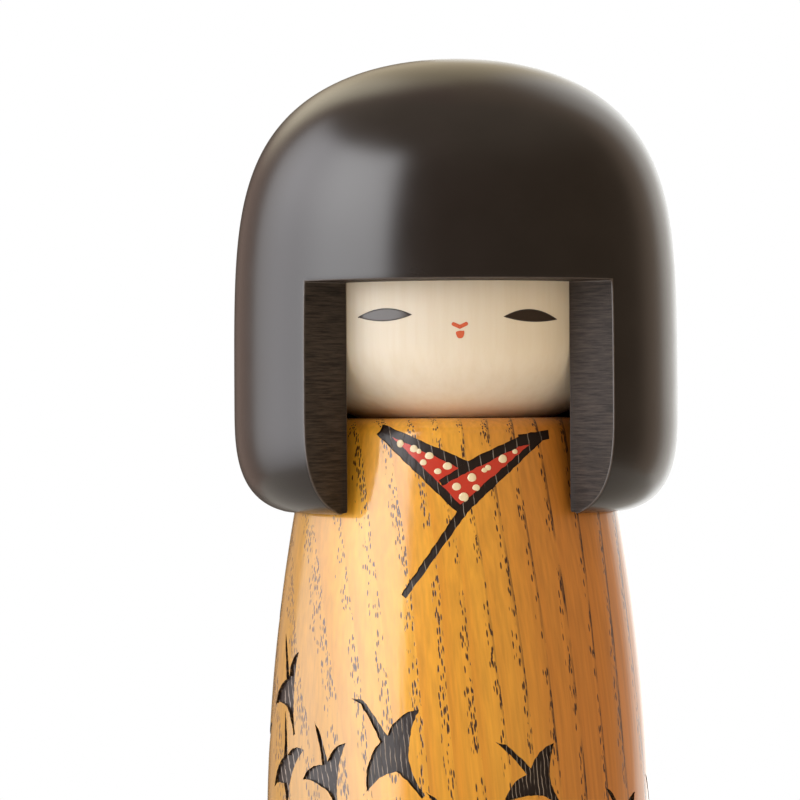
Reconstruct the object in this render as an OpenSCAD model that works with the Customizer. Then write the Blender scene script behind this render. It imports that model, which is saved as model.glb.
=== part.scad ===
// Kokeshi doll with a bobbed hair cap: a barrel-shaped body turned from
// open-grained chestnut, a white dogwood head that turns on a neck dowel, and
// a hollow black hair cap glued over the head, with a window sawn out of its
// front for the face. The collar and a flock of cranes are carved into the
// body and filled with coats of paint. Millimetres, +Z up, face towards -Y,
// origin at the centre of the foot.

/* [Body] */
// Largest radius of the body, at its belly
belly_r = 43.2; // [42.5:0.1:44]
// Height of the belly above the table
belly_z = 68.4; // [64:0.2:72]
// Radius of the long arc that the side is turned to
belly_arc = 428; // [410:2:450]
// Height of the body's flat top, which the head turns on
shoulder_z = 164.5; // [163.5:0.1:165.5]
// Rounding of the shoulder
shoulder_round = 5; // [3:0.5:7]
// Rounding of the foot
foot_round = 1.2; // [0.6:0.2:2]

/* [Head] */
// Radius of the head where it fits the hair cap
head_r = 37.9; // [37.7:0.05:37.95]
// Radius of the flat under the chin
chin_r = 22; // [20:0.2:24]
// Height of the rounding from the chin up to the cheek
jaw_h = 16; // [13:0.5:18]
// Height of the head's flat top, inside the hair cap
head_top_z = 212; // [208:0.5:214]

/* [Hair cap] */
// Largest radius of the hair
hair_r = 50; // [49.5:0.1:51.5]
// Height of the whole doll, to the crown of the hair
crown_z = 245; // [243:0.5:248]
// Height where the hem starts to round inwards
hem_top_z = 167; // [165:0.5:169]
// Lowest height that the hem's curve runs to
hem_z = 143; // [142:0.2:144]
// Radius of the bore, which takes the head and the body's shoulder
bore_r = 38; // [38:0.05:38.3]
// Height of the fringe, the top of the face window
fringe_z = 193.9; // [191:0.2:196]
// Half the width of the window at the hair's outer face
window_out = 33.05; // [31.5:0.1:34]
// Half the width of the window at the bore
window_in = 24.2; // [23.5:0.1:25.5]

/* [Dowels] */
// Radius of the neck dowel
neck_dowel_r = 6; // [5:0.1:7]
// How far the neck dowel reaches into the head, and into the body
neck_dowel_reach = 15; // [10:0.5:18]
// Radius of the crown dowel
crown_dowel_r = 4; // [3:0.1:5]
// How far the crown dowel reaches into the head, and into the hair
crown_dowel_reach = 12; // [8:0.5:14]

/* [Carving and paint] */
// Depth that the cranes and the collar lines are carved to
carve_depth = 0.9; // [0.6:0.1:1.2]
// Depth of the shallower collar panels
panel_depth = 0.5; // [0.4:0.1:0.6]
// Thickness of a coat of paint in a carving
coat = 0.25; // [0.15:0.05:0.3]
// Thickness of the painted eyes and lips
face_paint = 0.06; // [0.04:0.01:0.08]
// Height that a dot of enamel stands above the red panel
dot_rise = 0.35; // [0.2:0.05:0.5]

/* [Hidden] */

// The cranes come last in NODES, after this many others.
first_crane = 13;

$fn = 128;

// Gaps: the neck turns in the body, and the glued joints are a close push fit.
turn_gap = 0.06;
glue_gap = 0.03;
end_gap = 0.5;
neck_gap = 0.1;

// The hair's outline is a superellipse: these are its exponents and its base.
dome_base_z = 156.3;
dome_power_r = 2.13;
dome_power_z = 5.14;
hem_power = 3;
hem_centre_r = 30.4;
hem_edge = 1.2;
dome_steps = 44;
hem_steps = 12;
belly_steps = 14;
round_steps = 5;
jaw_steps = 14;
// The jaw leaves the flat of the chin this far round its ellipse.
jaw_turn = 30;

chin_z = shoulder_z + neck_gap;

// Points of one rounded corner: centre c, radius r, from angle a to b.
function arc(c, r, a, b, n) =
    [for (i = [0:n]) let (t = a + (b - a) * i / n) c + r * [cos(t), sin(t)]];

// Points from p0 to p1, without p1 itself, along a parabola that is pulled h
// to the left of the straight way.
function bow(p0, p1, h, n = 4) =
    let (way = p1 - p0, pull = (p0 + p1) / 2 + h * [-way[1], way[0]] / norm(way))
    [for (i = [0:n - 1]) let (t = i / n)
        (1 - t) * (1 - t) * p0 + 2 * t * (1 - t) * pull + t * t * p1];

// ---------------------------------------------------------------- the body

function belly(z) = belly_r - belly_arc + sqrt(belly_arc * belly_arc - (z - belly_z) * (z - belly_z));

// Outline of the body, or of the same body with its side cut back by inset.
function body_outline(inset = 0) =
    let (
        r0 = foot_round, r1 = shoulder_round,
        z0 = r0, z1 = shoulder_z - r1,
        foot = [belly(z0) - r0, z0],
        shoulder = [belly(z1) - r1, z1]
    )
    concat(
        [[0, inset], [foot[0], inset]],
        arc(foot, r0 - inset, -60, -15, 2),
        [for (i = [0:belly_steps]) let (z = z0 + (z1 - z0) * i / belly_steps) [belly(z) - inset, z]],
        arc(shoulder, r1 - inset, 15, 90, round_steps),
        [[0, shoulder_z - inset]]
    );

module body_solid(inset = 0) {
    rotate_extrude() polygon(body_outline(inset));
}

// Whatever is drawn in x and z, standing through the body's side at azimuth az.
module through_side(az = 0, z = 0) {
    rotate([0, 0, az]) translate([0, -belly_r / 2, z])
        rotate([90, 0, 0]) linear_extrude(height = belly_r) children();
}

// The space that a chisel leaves: what is drawn, down to depth under the surface.
module recess(depth, az = 0, z = 0) {
    difference() {
        through_side(az, z) children();
        body_solid(depth);
    }
}

// The coat of paint on the floor of such a recess.
module recess_coat(depth, az = 0, z = 0) {
    intersection() {
        difference() {
            through_side(az, z) children();
            body_solid(depth);
        }
        body_solid(depth - coat);
    }
}

module body() {
    color("goldenrod") difference() {
        body_solid();
        translate([0, 0, shoulder_z - neck_dowel_reach - end_gap])
            cylinder(r = neck_dowel_r + turn_gap, h = neck_dowel_reach + 1);
        recess(carve_depth) collar_lines_drawing();
        recess(panel_depth) red_left_drawing();
        recess(panel_depth) red_right_drawing();
        for (c = FLOCK) recess(carve_depth, c[0], c[1]) crane_drawing(c);
    }
}

// -------------------------------------------------------------- the cranes

// Every crane: azimuth from the front, height, heading from upwards, size, how
// far the right and the left wing are swept forward, and the turn of its beak.
FLOCK = [
    [-20.5, 94.0, 36, 1.00, 20, -22, 38],
    [-42.0, 88.0, 22, 0.80, 34, 10, 10],
    [-64.0, 105.0, 22, 0.86, 46, -4, 0],
    [-63.0, 88.0, 8, 0.82, 24, -28, 6],
    [22.0, 87.6, 44, 0.82, 16, 12, 18],
    [-0.5, 75.2, 32, 0.84, 38, 4, 20],
    [57.0, 75.0, 36, 0.82, 20, 10, 14],
    [-37.5, 70.5, 20, 0.86, 28, -6, 12],
    [18.0, 64.0, 40, 0.88, 22, -14, 24],
    [41.0, 60.0, 46, 0.78, 18, 8, 16],
    [-17.0, 56.5, 28, 0.84, 26, -18, 22],
    [-63.0, 65.0, 14, 0.80, 30, 4, 8],
    [68.0, 53.0, 40, 0.82, 16, -6, 20],
    [-89.0, 91.0, 10, 0.82, 28, -12, 10],
    [-90.0, 117.0, 14, 0.76, 34, 0, 6],
    [-45.0, 46.0, 22, 0.80, 24, 6, 14],
    [7.0, 41.0, 34, 0.80, 20, 10, 18],
    [37.0, 36.0, 44, 0.82, 18, -16, 26],
    [84.0, 76.0, 34, 0.78, 22, 8, 12],
    [-90.0, 64.0, 10, 0.80, 26, -10, 8]
];

// Sizes of the largest crane, from the middle of its back.
WING = 10.6;
NECK = 12.2;
LEGS = 12;
BEAK = 2.9;

// A flying crane seen from above, with its neck towards +y: the neck and the
// legs are thin, and each wing is a bent leaf with its hollow side at the back.
function crane_outline(lift_right, lift_left, nod) =
    let (
        beak = [-BEAK * sin(nod), NECK + BEAK * cos(nod)],
        nape = [0.55, NECK + 0.3], throat = [-0.5, NECK - 0.2],
        front_right = [1.0, 3.2], rear_right = [2.0, -4.0],
        front_left = [-1.1, 3.0], rear_left = [-1.7, -4.2],
        tip_right = WING * [cos(lift_right), sin(lift_right)],
        tip_left = WING * [-cos(lift_left), sin(lift_left)],
        toe_right = [0.55, 0.2 - LEGS], toe_left = [-0.45, -0.1 - LEGS]
    )
    concat(
        [beak],
        bow(nape, front_right, 0.35),
        bow(front_right, tip_right, 2.6, 5),
        bow(tip_right, rear_right, -1.6),
        bow(rear_right, toe_right, -0.9, 3),
        [toe_right],
        bow(toe_left, rear_left, -0.9, 3),
        bow(rear_left, tip_left, -1.6),
        bow(tip_left, front_left, 2.6, 5),
        bow(front_left, throat, -0.35),
        [throat]
    );

module crane_drawing(c) {
    rotate(c[2]) scale(c[3]) polygon(crane_outline(c[4], c[5], c[6]));
}

module crane(i) {
    c = FLOCK[i];
    color("black") recess_coat(carve_depth, c[0], c[1]) crane_drawing(c);
}

// -------------------------------------------------------------- the collar

// The strokes of the crossed collar, in x and height as seen from the front:
// where each starts, where it ends, and its width at both.
COLLAR = [
    [[-17.0, 161.8], [0.6, 144.5], 2.0, 1.7],
    [[-16.7, 162.6], [1.6, 154.3], 1.6, 2.2],
    [[19.6, 160.8], [13.0, 159.6], 2.0, 2.6],
    [[14.6, 160.2], [1.5, 154.0], 2.0, 2.2],
    [[1.6, 153.9], [-4.0, 150.6], 1.9, 1.3],
    [[18.8, 160.9], [0.6, 145.0], 1.2, 2.2],
    [[0.9, 145.0], [-12.1, 126.6], 2.0, 1.3]
];

// A straight stroke of a brush or chisel that is wa wide at a and wb wide at b.
module stroke(a, b, wa, wb) {
    n = [a[1] - b[1], b[0] - a[0]] / norm(b - a) / 2;
    polygon([a + n * wa, a - n * wa, b - n * wb, b + n * wb]);
}

module collar_lines_drawing() {
    for (c = COLLAR) stroke(c[0], c[1], c[2], c[3]);
}

// The red panels fill the spaces between the lines, one on each side of the
// crossing. Their edges run under the lines, which are cut deeper.
module red_left_drawing() {
    polygon([[-15.2, 161.1], [1.0, 154.4], [-3.9, 150.7], [-5.0, 150.3]]);
}

module red_right_drawing() {
    polygon([[16.2, 159.25], [12.5, 158.6], [1.6, 153.9], [-4.0, 150.2], [0.6, 145.4]]);
}

// Places and radii of the enamel dots on the red panels.
DOTS = [
    [-12.6, 159.1, 0.85], [-9.7, 157.9, 0.90], [-8.6, 157.4, 0.60], [-6.4, 156.4, 0.90],
    [-7.7, 155.0, 0.75], [-2.5, 154.2, 1.00], [-4.6, 153.1, 0.75],
    [12.1, 157.2, 0.65], [9.4, 155.6, 1.00], [6.2, 153.8, 0.75], [5.4, 153.3, 0.60],
    [2.7, 151.7, 1.05], [-0.6, 149.8, 0.95], [3.6, 149.6, 0.80], [0.9, 147.6, 1.00]
];

module collar_lines() {
    color("black") recess_coat(carve_depth) collar_lines_drawing();
}

module collar_red(drawing_side) {
    color("firebrick") difference() {
        recess_coat(panel_depth) {
            if (drawing_side < 0) red_left_drawing();
            else red_right_drawing();
        }
        through_side() collar_lines_drawing();
    }
}

// Each dot is a low round drop that stands on the red coat, clear of the lines
// and cut off where it would run over the edge of its panel.
module collar_dots() {
    color("antiquewhite") difference() {
        intersection() {
            for (d = DOTS) through_side(0, d[1]) translate([d[0], 0]) circle(r = d[2], $fn = 32);
            union() {
                through_side() red_left_drawing();
                through_side() red_right_drawing();
            }
            body_solid(panel_depth - coat - dot_rise);
        }
        body_solid(panel_depth - coat);
        through_side() collar_lines_drawing();
    }
}

// ---------------------------------------------------------------- the head

jaw_centre_r = (chin_r - head_r * sin(jaw_turn)) / (1 - sin(jaw_turn));

// Outline of the head, or of a head that is swollen by the thickness of paint.
function head_outline(swell = 0) = concat(
    [[0, chin_z]],
    [for (i = [0:jaw_steps]) let (t = jaw_turn + (90 - jaw_turn) * i / jaw_steps)
        [jaw_centre_r + (head_r + swell - jaw_centre_r) * sin(t),
         chin_z + jaw_h * (1 - cos(t) / cos(jaw_turn))]],
    [[head_r + swell, head_top_z - 1], [head_r + swell - 1, head_top_z], [0, head_top_z]]
);

module head() {
    color("antiquewhite") difference() {
        rotate_extrude() polygon(head_outline());
        translate([0, 0, chin_z - 1])
            cylinder(r = neck_dowel_r + glue_gap, h = neck_dowel_reach + end_gap + 1);
        translate([0, 0, head_top_z - crown_dowel_reach - end_gap])
            cylinder(r = crown_dowel_r + glue_gap, h = crown_dowel_reach + end_gap + 1);
    }
}

// A shape drawn in x and height, laid on the face as a film of paint.
module face_film() {
    intersection() {
        translate([0, -head_r / 2, 0]) rotate([90, 0, 0]) linear_extrude(height = head_r) children();
        difference() {
            rotate_extrude() polygon(head_outline(face_paint));
            rotate_extrude() polygon(head_outline());
        }
    }
}

// Each eye, painted by hand: centre, half its length, how far its inner corner
// is above its middle, and how much the upper and the lower lid arch.
EYES = [
    [[-15.75, 186.55], 5.85, 0.16, 3.25, 2.3],
    [[15.5, 185.9], 5.88, 0.26, 3.8, 1.6]
];

// Where the mouth sits on the face.
mouth = [0.25, 184.0];

// A leaf-shaped eye: the upper lid arches more than the lower one.
module eye_drawing(side) {
    e = side < 0 ? EYES[0] : EYES[1];
    inner = [-side * e[1], e[2]];
    outer = [side * e[1], -e[2]];
    translate(e[0])
        polygon(concat(bow(inner, outer, side * e[3], 8), bow(outer, inner, side * e[4], 8)));
}

module eye(side) {
    color("black") face_film() eye_drawing(side);
}

module lip_upper_drawing() {
    translate(mouth) {
        stroke([-1.55, 0.7], [0.05, 0.0], 0.8, 0.8);
        stroke([1.5, 0.7], [-0.05, 0.0], 0.8, 0.8);
    }
}

module lip_lower_drawing() {
    translate(mouth - [0, 0.65])
        polygon([[-0.9, -0.4], [-0.45, -0.25], [0.1, -0.15], [0.6, -0.2], [0.95, -0.1],
                 [0.9, -1.1], [0.5, -1.8], [-0.45, -1.75], [-0.75, -1.1]]);
}

module lip_upper() {
    color("tomato") face_film() lip_upper_drawing();
}

module lip_lower() {
    color("tomato") face_film() lip_lower_drawing();
}

// -------------------------------------------------------------- the hair cap

// The hem curls in from the side down to the bore.
function hem_point(t) = [
    hem_centre_r + (hair_r - hem_centre_r) * pow(sin(t), 2 / hem_power),
    hem_top_z - (hem_top_z - hem_z) * pow(cos(t), 2 / hem_power)
];

// The dome: almost upright at the sides and almost flat at the crown.
function dome_point(t) = [
    hair_r * pow(cos(t), 2 / dome_power_r),
    dome_base_z + (crown_z - dome_base_z) * pow(sin(t), 2 / dome_power_z)
];

hem_start = asin(pow((bore_r + hem_edge - hem_centre_r) / (hair_r - hem_centre_r), hem_power / 2));
dome_start = asin(pow((hem_top_z + 2 - dome_base_z) / (crown_z - dome_base_z), dome_power_z / 2));
hem_lip_z = hem_point(hem_start)[1];
bore_top_z = head_top_z + end_gap;

hair_outline = concat(
    [for (i = [0:hem_steps]) hem_point(hem_start + (90 - hem_start) * i / hem_steps)],
    [for (i = [0:dome_steps - 1]) dome_point(dome_start + (90 - dome_start) * i / dome_steps)],
    [
        [0, crown_z],
        [0, bore_top_z + crown_dowel_reach],
        [crown_dowel_r + glue_gap, bore_top_z + crown_dowel_reach],
        [crown_dowel_r + glue_gap, bore_top_z],
        [bore_r, bore_top_z]
    ],
    arc([bore_r + hem_edge, hem_lip_z + hem_edge], hem_edge, 180, 250, 4)
);

// The window is sawn with two upright cuts that spread outwards, and a level one.
module window_cutter() {
    in_y = sqrt(bore_r * bore_r - window_in * window_in);
    out_y = sqrt(hair_r * hair_r - window_out * window_out);
    run = [window_out - window_in, out_y - in_y];
    past = 2;
    x1 = window_out + past * run[0];
    y1 = out_y + past * run[1];
    translate([0, 0, hem_z - 1]) linear_extrude(height = fringe_z - hem_z + 1)
        polygon([[-window_in, -in_y], [-x1, -y1], [x1, -y1], [window_in, -in_y], [0, -in_y + 3]]);
}

module hair_cap() {
    color("black") difference() {
        rotate_extrude() polygon(hair_outline);
        window_cutter();
    }
}

// ---------------------------------------------------------------- the dowels

module neck_dowel() {
    color("burlywood") translate([0, 0, chin_z - neck_dowel_reach])
        cylinder(r = neck_dowel_r, h = 2 * neck_dowel_reach);
}

module crown_dowel() {
    color("burlywood") translate([0, 0, head_top_z - crown_dowel_reach])
        cylinder(r = crown_dowel_r, h = 2 * crown_dowel_reach);
}

// ------------------------------------------------------------------- output

body();
head();
hair_cap();
neck_dowel();
crown_dowel();
eye(-1);  // eye_left
eye(1);  // eye_right
lip_upper();
lip_lower();
collar_lines();
collar_red(-1);  // collar_red_left
collar_red(1);  // collar_red_right
collar_dots();
for (i = [0:len(FLOCK) - 1])
    crane(i);
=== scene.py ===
"""Kokeshi doll: the looks of a turned and carved wooden doll.

The body is a barrel of lacquered chestnut, carved with a crossed collar and a
flock of cranes. The head is pale dogwood with painted eyes and lips. It sits
in a hollow hair cap of black lacquered wood, with a window sawn out of it for
the face. Shapes are worked out in millimetres and made in metres.
"""
import logging
import math
import random
from collections.abc import Callable, Sequence
from dataclasses import dataclass, field
from enum import Enum
from typing import Any

import bmesh
import bpy
from mathutils import Matrix, Vector


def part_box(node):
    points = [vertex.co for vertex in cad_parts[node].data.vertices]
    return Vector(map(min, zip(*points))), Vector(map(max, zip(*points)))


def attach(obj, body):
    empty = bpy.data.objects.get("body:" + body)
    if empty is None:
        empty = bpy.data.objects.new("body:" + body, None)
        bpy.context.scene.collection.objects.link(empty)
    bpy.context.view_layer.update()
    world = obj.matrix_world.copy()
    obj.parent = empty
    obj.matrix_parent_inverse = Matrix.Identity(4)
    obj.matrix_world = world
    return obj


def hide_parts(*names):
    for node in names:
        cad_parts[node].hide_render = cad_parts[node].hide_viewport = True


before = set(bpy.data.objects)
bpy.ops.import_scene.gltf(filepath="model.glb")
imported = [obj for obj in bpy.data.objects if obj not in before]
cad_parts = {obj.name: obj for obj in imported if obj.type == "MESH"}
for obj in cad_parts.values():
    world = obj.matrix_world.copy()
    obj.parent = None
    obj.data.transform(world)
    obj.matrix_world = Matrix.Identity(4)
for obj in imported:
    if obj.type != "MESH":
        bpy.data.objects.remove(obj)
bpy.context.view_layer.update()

MM = 0.001

Point = tuple[float, float]
Outline = list[Point]
Place = Callable[[float, float, bool], Vector]
Mesh = bmesh.types.BMesh
Object = bpy.types.Object
Tree = bpy.types.NodeTree
Node = bpy.types.Node
Socket = bpy.types.NodeSocket
Inputs = dict[str | int, Any]
Triple = tuple[float, float, float]
Relief = tuple[float, float] | None
Edge = tuple[str, float, float]

log = logging.getLogger("kokeshi")


class Body(Enum):
    """The two rigid bodies that the pieces ride on."""

    TORSO = "torso"
    HEAD = "head_group"


# ------------------------------------------------------------ drawing tools


def arc(centre: Point, radius: float, start: float, end: float, count: int) -> Outline:
    """Points of a circular arc.

    Args:
        centre: Its centre.
        radius: Its radius.
        start: The angle of its first point, in degrees.
        end: The angle of its last point, in degrees.
        count: How many steps it has.

    Returns:
        The points, both ends included.
    """
    turns = [math.radians(start + (end - start) * i / count) for i in range(count + 1)]
    return [(centre[0] + radius * math.cos(t), centre[1] + radius * math.sin(t)) for t in turns]


def bow(start: Point, end: Point, pull: float, count: int = 8) -> Outline:
    """Points along a parabola between two points.

    Args:
        start: Its first point.
        end: Its last point, which is left out.
        pull: How far its handle lies to the left of the straight way.
        count: How many points it has.

    Returns:
        The points from start up to the one before end.
    """
    way = Vector(end) - Vector(start)
    handle = (Vector(start) + Vector(end)) / 2 + Vector((-way.y, way.x)).normalized() * pull
    points = []
    for i in range(count):
        t = i / count
        p = (1 - t) ** 2 * Vector(start) + 2 * t * (1 - t) * handle + t**2 * Vector(end)
        points.append((p.x, p.y))
    return points


def evenly(curve: Callable[[float], Point], start: float, end: float, step: float) -> Outline:
    """Points spaced evenly along a curve.

    Args:
        curve: Gives the curve's point at a parameter.
        start: The parameter at its beginning.
        end: The parameter at its end.
        step: About how far apart the points are.

    Returns:
        The points, both ends included.
    """
    fine = [Vector(curve(start + (end - start) * i / 2000)) for i in range(2001)]
    walked = [0.0]
    for a, b in zip(fine, fine[1:]):
        walked.append(walked[-1] + (b - a).length)
    count = max(1, round(walked[-1] / step))
    points, k = [], 0
    for i in range(count + 1):
        goal = walked[-1] * i / count
        while k < len(walked) - 1 and walked[k] < goal - 1e-9:
            k += 1
        points.append((fine[k].x, fine[k].y))
    return points


def hand_cut(outline: Outline, step: float, slip: float, rng: random.Random) -> Outline:
    """The same outline as a chisel leaves it, with small slips from side to side.

    Args:
        outline: The corners of the clean outline.
        step: About how far apart the slips are.
        slip: The most that a point moves.
        rng: Where the slips come from.

    Returns:
        The uneven outline.
    """
    points = []
    for a, b in zip(outline, outline[1:] + outline[:1]):
        way = Vector(b) - Vector(a)
        side = Vector((-way.y, way.x)).normalized()
        count = max(1, round(way.length / step))
        for i in range(count):
            p = Vector(a) + way * i / count + side * rng.uniform(-slip, slip)
            points.append((p.x, p.y))
    return points


def stroke(start: Point, end: Point, wide: float, narrow: float) -> Outline:
    """A straight stroke that goes from one width to another, as four corners."""
    way = Vector(end) - Vector(start)
    side = Vector((-way.y, way.x)).normalized() / 2
    ends = ((Vector(start), wide), (Vector(end), narrow))
    left = [p + side * w for p, w in ends]
    right = [p - side * w for p, w in reversed(ends)]
    return [(p.x, p.y) for p in left + right]


def rounded(outline: Outline) -> Outline:
    """An outline with every corner cut twice, as a soft brush leaves it."""
    for _ in range(2):
        cut = []
        for a, b in zip(outline, outline[1:] + outline[:1]):
            cut.append((0.75 * a[0] + 0.25 * b[0], 0.75 * a[1] + 0.25 * b[1]))
            cut.append((0.25 * a[0] + 0.75 * b[0], 0.25 * a[1] + 0.75 * b[1]))
        outline = cut
    return outline


# ------------------------------------------------------------ mesh tools


def turned(profile: Outline, steps: int) -> Mesh:
    """A shape turned about the upright axis, as on a lathe.

    Args:
        profile: Radius and height of each point, from axis to axis.
        steps: How many columns go round.

    Returns:
        The closed mesh, in millimetres.
    """
    bm = bmesh.new()
    verts = [bm.verts.new((r, 0, z)) for r, z in profile]
    edges = [bm.edges.new(pair) for pair in zip(verts, verts[1:])]
    bmesh.ops.spin(
        bm, geom=verts + edges, cent=(0, 0, 0), axis=(0, 0, 1),
        angle=math.tau, steps=steps, use_merge=True, use_duplicate=False,
    )
    bmesh.ops.remove_doubles(bm, verts=bm.verts, dist=1e-4)
    bmesh.ops.recalc_face_normals(bm, faces=bm.faces)
    return bm


def slab(outline: Outline, cell: float, place: Place, rim: float = 0) -> Mesh:
    """A closed slab whose two faces each follow a curved surface.

    Args:
        outline: Its outline, across and up.
        cell: How far apart the cuts are that let it bend.
        place: Gives the place of a point from across, up, and whether it is
            on the outer face.
        rim: How wide a border of its outer face takes the second material.

    Returns:
        The mesh, in millimetres.
    """
    bm = bmesh.new()
    bm.faces.new([bm.verts.new((x, 0, z)) for x, z in outline])
    for axis in (Vector((1, 0, 0)), Vector((0, 0, 1))):
        reach = [v.co.dot(axis) for v in bm.verts]
        first = math.floor(min(reach) / cell) + 1
        for i in range(first, math.ceil(max(reach) / cell)):
            whole = bm.verts[:] + bm.edges[:] + bm.faces[:]
            bmesh.ops.bisect_plane(bm, geom=whole, dist=1e-4, plane_co=axis * i * cell, plane_no=axis)
    raised = bmesh.ops.extrude_face_region(bm, geom=bm.faces[:])["geom"]
    lifted = [v for v in raised if isinstance(v, bmesh.types.BMVert)]
    bmesh.ops.translate(bm, verts=lifted, vec=(0, 1, 0))
    if rim:
        outer = [f for f in raised if isinstance(f, bmesh.types.BMFace)]
        for f in bmesh.ops.inset_region(bm, faces=outer, thickness=rim, use_even_offset=True)["faces"]:
            f.material_index = 1
    for v in bm.verts:
        v.co = place(v.co.x, v.co.z, v.co.y > 0.5)
    bmesh.ops.triangulate(bm, faces=[f for f in bm.faces if len(f.verts) > 4])
    bmesh.ops.recalc_face_normals(bm, faces=bm.faces)
    return bm


def join(parts: Sequence[Mesh]) -> Mesh:
    """Puts several meshes into one, and frees them."""
    whole = bmesh.new()
    for part in parts:
        passing = bpy.data.meshes.new("passing")
        part.to_mesh(passing)
        whole.from_mesh(passing)
        bpy.data.meshes.remove(passing)
        part.free()
    return whole


def make_object(name: str, bm: Mesh, *finishes: "Finish", crease: float = 32) -> Object:
    """Makes an object from a mesh in millimetres, and frees the mesh.

    Args:
        name: The object's name.
        bm: Its mesh.
        *finishes: The finish in each of its material slots.
        crease: The angle past which an edge is sharp, in degrees.

    Returns:
        The object, linked to the scene.
    """
    bmesh.ops.scale(bm, vec=(MM, MM, MM), verts=bm.verts)
    mesh = bpy.data.meshes.new(name)
    bm.to_mesh(mesh)
    bm.free()
    for finish in finishes:
        mesh.materials.append(finish.material())
    obj = bpy.data.objects.new(name, mesh)
    bpy.context.scene.collection.objects.link(obj)
    smooth(mesh, crease)
    return obj


def smooth(mesh: bpy.types.Mesh, crease: float = 32) -> None:
    """Shades a mesh smooth, but for edges sharper than crease degrees."""
    mesh.shade_smooth()
    mesh.set_sharp_from_angle(angle=math.radians(crease))


def cut_out(obj: Object, cutter: Mesh, slot: int) -> None:
    """Cuts a shape out of an object for good.

    Args:
        obj: What is cut.
        cutter: The shape, in millimetres.
        slot: The material slot that the cut faces take.
    """
    for f in cutter.faces:
        f.material_index = slot
    tool = make_object("cutter", cutter)
    for material in obj.data.materials:
        tool.data.materials.append(material)
    cut = obj.modifiers.new("cut", "BOOLEAN")
    cut.operation = "DIFFERENCE"
    cut.solver = "MANIFOLD"
    cut.material_mode = "INDEX"
    cut.object = tool
    graph = bpy.context.evaluated_depsgraph_get()
    carved = bpy.data.meshes.new_from_object(obj.evaluated_get(graph))
    obj.modifiers.clear()
    old = obj.data
    obj.data = carved
    bpy.data.meshes.remove(old)
    tool_mesh = tool.data
    bpy.data.objects.remove(tool)
    bpy.data.meshes.remove(tool_mesh)
    smooth(carved)


def enrol(obj: Object, body: Body, slot: str, *nodes: str) -> None:
    """Says what a finished piece rides on, and hides the parts that it stands for."""
    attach(obj, body.value)
    if nodes:
        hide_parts(*nodes)
    log.info("%s: %d faces, rides on %s", obj.name, len(obj.data.polygons), body.value)


# ------------------------------------------------------------ finishes


# The Mix node's settings for colours, with the numbers of its colour inputs and output.
MIX_A, MIX_B = 6, 7
MIX: dict[str, Any] = {"out": 2, "data_type": "RGBA"}
SMOOTH = {"interpolation_type": "SMOOTHSTEP"}


def linear(code: str) -> tuple[float, float, float, float]:
    """An sRGB hex colour as linear red, green, blue and alpha."""
    channels = [int(code[i : i + 2], 16) / 255 for i in (1, 3, 5)]
    values = [c / 12.92 if c <= 0.04045 else ((c + 0.055) / 1.055) ** 2.4 for c in channels]
    return (values[0], values[1], values[2], 1.0)


def add(tree: Tree, kind: str, inputs: Inputs | None = None, out: str | int = 0, **settings: Any) -> Socket:
    """Adds a node to a tree with its settings and links.

    Args:
        tree: The node tree.
        kind: The node's type, without the ShaderNode before it.
        inputs: A value or an output socket for each input, by name or number.
        out: The output that is wanted, by name or number.
        **settings: Values for the node's own properties.

    Returns:
        The output.
    """
    node = tree.nodes.new(f"ShaderNode{kind}")
    for key, value in settings.items():
        setattr(node, key, value)
    for key, value in (inputs or {}).items():
        if isinstance(value, Socket):
            tree.links.new(value, node.inputs[key])
        else:
            node.inputs[key].default_value = value
    return node.outputs[out]


def span(value: Socket, low: float, high: float, top: float = 1.0, bottom: float = 0.0) -> Inputs:
    """What a Map Range node takes to give bottom at low and top at high."""
    return {"Value": value, "From Min": low, "From Max": high, "To Min": bottom, "To Max": top}


def coats(weight: Socket, under: Any, over: Any) -> Inputs:
    """What a Mix node takes to lay one colour over another by weight."""
    return {0: weight, MIX_A: under, MIX_B: over}


@dataclass(frozen=True)
class Figure:
    """An irregular pattern that growth, a tool or a brush leaves in a surface.

    Its features are as wide as its size. An axis drawn by less than 1 stretches
    them that way, and one drawn by 0 has no pattern along it.
    """

    size: float
    detail: float = 3.0
    drawn: Triple = (1, 1, 1)
    rough: float = 0.5

    def on(self, tree: Tree, place: Socket) -> Socket:
        """How strong the pattern is at a place, from 0 to 1 and mostly about a half."""
        drawn = add(tree, "Mapping", {"Vector": place, "Scale": self.drawn})
        inputs = {"Vector": drawn, "Scale": 1 / self.size, "Detail": self.detail, "Roughness": self.rough}
        return add(tree, "TexNoise", inputs, "Fac")


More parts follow.
